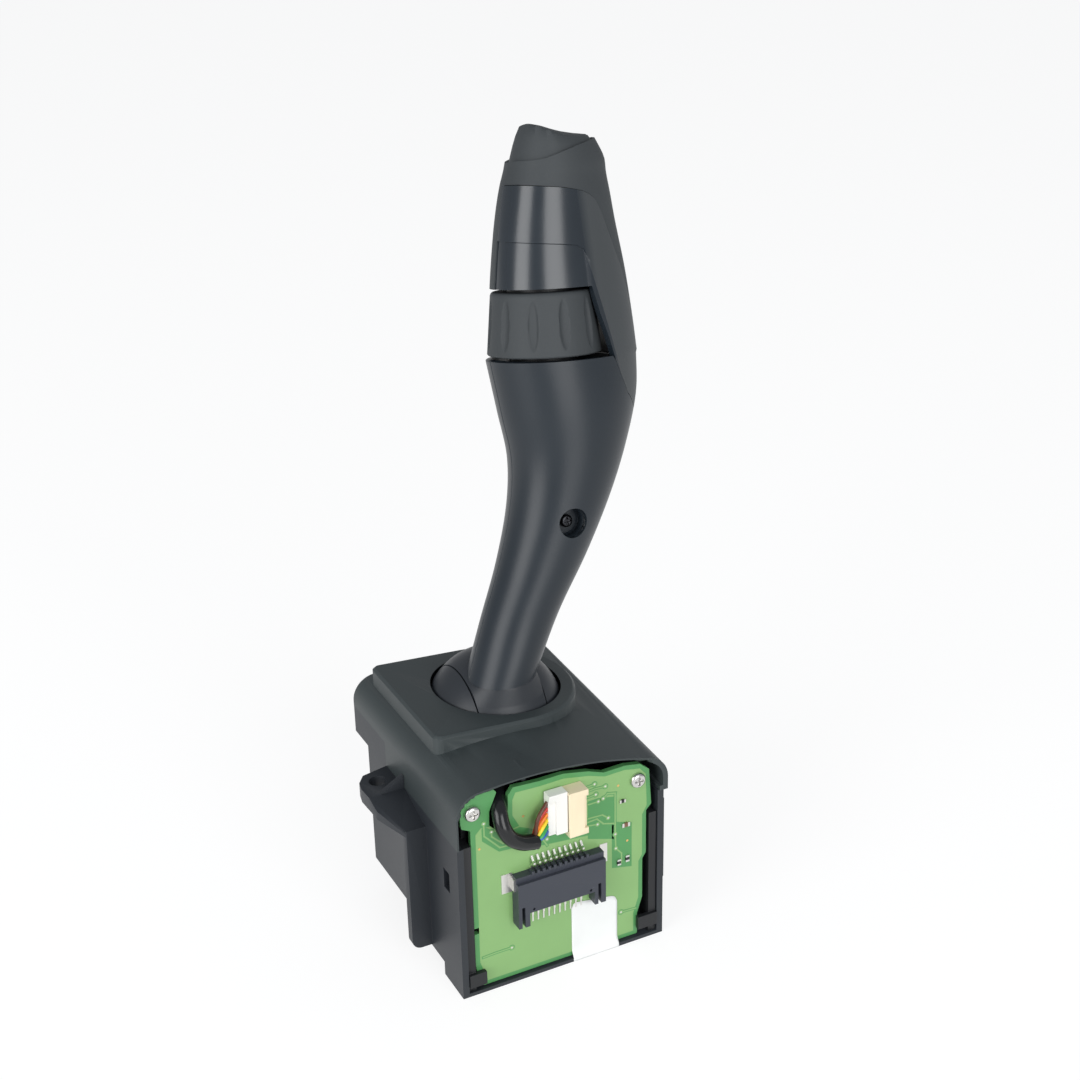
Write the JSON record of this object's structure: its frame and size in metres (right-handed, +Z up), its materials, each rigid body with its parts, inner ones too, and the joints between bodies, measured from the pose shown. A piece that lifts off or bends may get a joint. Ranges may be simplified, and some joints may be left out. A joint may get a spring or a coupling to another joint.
{
  "type": "combination stalk switch",
  "caption": "Column stalk switch: curved lever with rotary ring and tip button, tilting two ways in a ball joint on a moulded housing with an open circuit board.",
  "frame": {"origin": "centre of the ear's bore at its upper mouth", "axes": "+Z up along the bore, +Y back from the open board side, +X away from the ear, across the housing"},
  "size_m": [0.1009, 0.089, 0.2305],
  "materials": {
    "housing_plastic": "moulded, fine texture",
    "cover_plastic": "moulded, fine texture",
    "inner_plastic": "black, satin",
    "bearing_plastic": "natural, slippery",
    "steel": "bright plated",
    "tin": "tinned",
    "board_green": "solder mask",
    "connector_black": "glass filled",
    "header_cream": "moulded",
    "plug_white": "moulded",
    "sleeve_black": "smooth",
    "wire_colours": "insulation of several colours",
    "chip_black": "moulded",
    "ball_plastic": "satin",
    "magnet": "sintered",
    "grip_plastic": "satin",
    "gloss_grip": "satin gloss",
    "matte_grip": "matte, fine grain",
    "dark_screw": "blackened"
  },
  "bodies": {
    "housing": {"main_housing": "housing_plastic", "top_cover": "cover_plastic", "bearing_frame": "inner_plastic", "detent_dish": "bearing_plastic", "frame_screws": "steel", "circuit_board": "board_green", "board_screws": "steel", "board_carrier": "inner_plastic", "edge_connector": "connector_black", "connector_pins": "tin", "connector_tabs": "tin", "harness_header": "header_cream", "harness_plug": "plug_white", "harness_sleeve": "sleeve_black", "harness_wires": "wire_colours", "board_parts": "chip_black", "sensor_chips": "chip_black"},
    "gimbal": {"gimbal_dome": "ball_plastic", "gimbal_pins": "steel", "cross_pins": "steel"},
    "lever": {"slide_strip": "ball_plastic", "lever_arm": "bearing_plastic", "lever_magnet": "magnet", "lever_front_shell": "grip_plastic", "lever_back_shell": "grip_plastic", "shell_screw": "dark_screw", "ring_core": "inner_plastic", "ring_contact_board": "board_green", "upper_cover": "gloss_grip", "spine_cover": "matte_grip", "button_pin": "steel", "tip_switch": "chip_black", "tip_board": "board_green", "lever_lead": "sleeve_black", "detent_spring": "steel"},
    "ring": {"rotary_ring": "matte_grip"},
    "plunger": {"detent_plunger": "bearing_plastic"},
    "button": {"tip_button": "matte_grip"}
  },
  "joints": [
    {"name": "side_tilt", "type": "hinge", "parent": "housing", "child": "gimbal", "pos_m": [0.0397, 0.0027, 0.0104], "axis": [0, 1, 0], "range_deg": [-8, 8]},
    {"name": "front_tilt", "type": "hinge", "parent": "gimbal", "child": "lever", "pos_m": [0.0397, 0.0027, 0.0104], "axis": [1, 0, 0], "range_deg": [-7, 7]},
    {"name": "ring_turn", "type": "hinge", "parent": "lever", "child": "ring", "pos_m": [0.06585, 0.0163, 0.11584], "axis": [0.0802, 0.2157, 0.9732], "range_deg": [-30, 60]},
    {"name": "plunger_slide", "type": "slide", "parent": "lever", "child": "plunger", "axis": [0, 0, 1], "range_m": [0, 0.0015], "stiffness_N_per_m": 1500, "springref_m": -0.003, "deforming": ["detent_spring"]},
    {"name": "button_press", "type": "hinge", "parent": "lever", "child": "button", "pos_m": [0.0855, 0.02788, 0.16808], "axis": [0, -0.9763, 0.2164], "range_deg": [0, 4], "stiffness_Nm_per_rad": 0.6, "springref_deg": -1.15}
  ]
}
